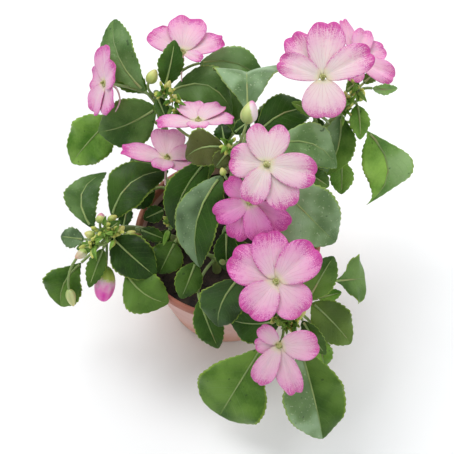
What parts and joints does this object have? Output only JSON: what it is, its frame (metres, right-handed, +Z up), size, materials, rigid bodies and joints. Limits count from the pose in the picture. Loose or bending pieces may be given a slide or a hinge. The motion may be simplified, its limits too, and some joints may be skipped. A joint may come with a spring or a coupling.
{
  "type": "potted busy lizzie",
  "caption": "Bushy flowering plant in a tapered pot: toothed oval leaves on fleshy stems, flat pink and white blooms and pointed buds over dark soil.",
  "frame": {"origin": "middle of the pot's underside, on the surface it stands on", "axes": "+Z up; -Y is the front, the side the picture is taken from; +X is right as seen from the front"},
  "size_m": [0.2326, 0.2327, 0.1898],
  "materials": {
    "pot": "matte",
    "soil": "rough, crumbly",
    "leaf_green": "soft satin",
    "petal_pink": "matte, velvety"
  },
  "bodies": {
    "root": {"pot": "pot", "soil": "soil", "shoot_back_left": "leaf_green", "shoot_left": "leaf_green", "shoot_back_right": "leaf_green", "shoot_front_right": "leaf_green", "shoot_centre": "leaf_green", "shoot_front": "leaf_green", "shoot_right": "leaf_green", "shoot_inner": "leaf_green", "bloom_back": "petal_pink", "bloom_left": "petal_pink", "bloom_upper": "petal_pink", "bloom_mid_left": "petal_pink", "bloom_top_right": "petal_pink", "bloom_far_right": "petal_pink", "bloom_middle": "petal_pink", "bloom_lower": "petal_pink", "bloom_front": "petal_pink", "bloom_bottom": "petal_pink", "bud_white_pink": "petal_pink", "bud_magenta": "petal_pink"}
  },
  "joints": []
}
